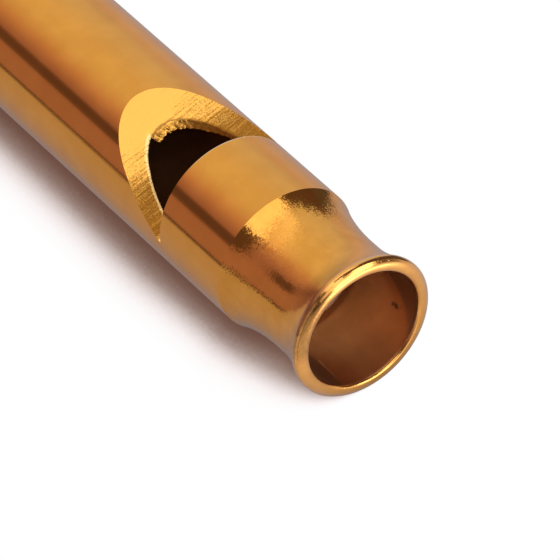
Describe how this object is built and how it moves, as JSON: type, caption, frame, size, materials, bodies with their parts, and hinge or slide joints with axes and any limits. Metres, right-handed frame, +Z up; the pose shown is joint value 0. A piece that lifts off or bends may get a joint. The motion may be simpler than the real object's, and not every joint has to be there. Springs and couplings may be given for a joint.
{
  "type": "survival whistle",
  "caption": "Slim gold aluminium pipe whistle with a sloped notch window, a waisted mouthpiece with a rounded lip, an inner windway plug, and a tail plug whose drilled lug carries a split ring.",
  "frame": {"origin": "point on the line that the pipe rests on, under the middle of the pipe", "axes": "+X along the pipe towards the mouth, +Z up with the window facing up, +Y across"},
  "size_m": [0.057, 0.015, 0.008],
  "materials": {
    "tube_gold": "gold anodised, satin, bare tool marks on the window's slope and the neck",
    "plug_gold": "gold anodised, satin",
    "tail_gold": "gold anodised, satin, turned",
    "ring_nickel": "nickel-plated spring steel, bright"
  },
  "bodies": {
    "whistle": {"body_tube": "tube_gold", "windway_plug": "plug_gold", "tail_plug": "tail_gold"},
    "ring": {"split_ring": "ring_nickel"}
  },
  "joints": [
    {"name": "ring_swing", "type": "hinge", "parent": "whistle", "child": "ring", "pos_m": [-0.02345, 0, 0.00398], "axis": [0, 1, 0], "range_deg": [-144, 168]}
  ]
}
